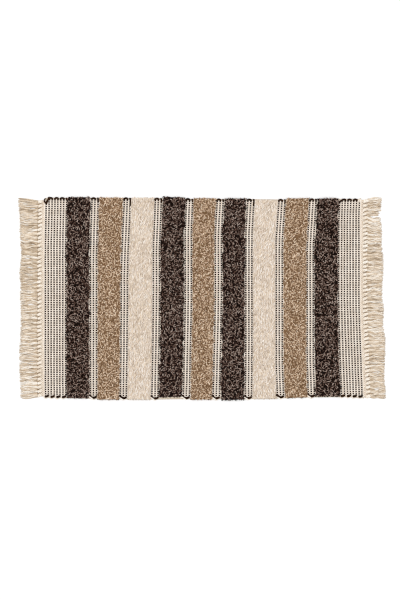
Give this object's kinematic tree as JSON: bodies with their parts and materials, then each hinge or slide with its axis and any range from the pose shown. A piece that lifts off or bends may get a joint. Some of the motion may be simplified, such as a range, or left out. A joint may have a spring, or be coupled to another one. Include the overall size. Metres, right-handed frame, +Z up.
{
  "type": "bath mat",
  "caption": "Flat hand-woven cotton bath mat: cream ground with dotted black weft stripes, raised cross bands of brown, tan and cream pile, and a knotted fringe along each end.",
  "frame": {"origin": "centre of the bounding box of the mat laid flat, on the floor that it lies on", "axes": "+X along the warp, the long side from fringe to fringe; +Y across the mat, from selvedge to selvedge; +Z up, out of the pile"},
  "size_m": [0.905, 0.51, 0.012],
  "materials": {
    "ground_cotton": "matt undyed cotton, plain weave",
    "black_weft": "matt black cotton yarn",
    "brown_pile": "dark brown tufted cotton pile",
    "tan_pile": "tan tufted cotton pile, flecked lighter and darker",
    "cream_pile": "cream tufted cotton pile",
    "fringe_cotton": "undyed cotton warp ends, knotted and loose"
  },
  "bodies": {
    "root": {"ground_weave": "ground_cotton", "black_weft_01": "black_weft", "black_weft_02": "black_weft", "black_weft_03": "black_weft", "black_weft_04": "black_weft", "black_weft_05": "black_weft", "black_weft_06": "black_weft", "black_weft_07": "black_weft", "black_weft_08": "black_weft", "black_weft_09": "black_weft", "black_weft_10": "black_weft", "pile_brown_1": "brown_pile", "pile_tan_1": "tan_pile", "pile_cream_1": "cream_pile", "pile_brown_2": "brown_pile", "pile_tan_2": "tan_pile", "pile_brown_3": "brown_pile", "pile_cream_2": "cream_pile", "pile_tan_3": "tan_pile", "pile_brown_4": "brown_pile", "heading_left": "ground_cotton", "heading_right": "ground_cotton", "knots_left": "fringe_cotton", "knots_right": "fringe_cotton", "fringe_left": "fringe_cotton", "fringe_right": "fringe_cotton"}
  },
  "joints": []
}
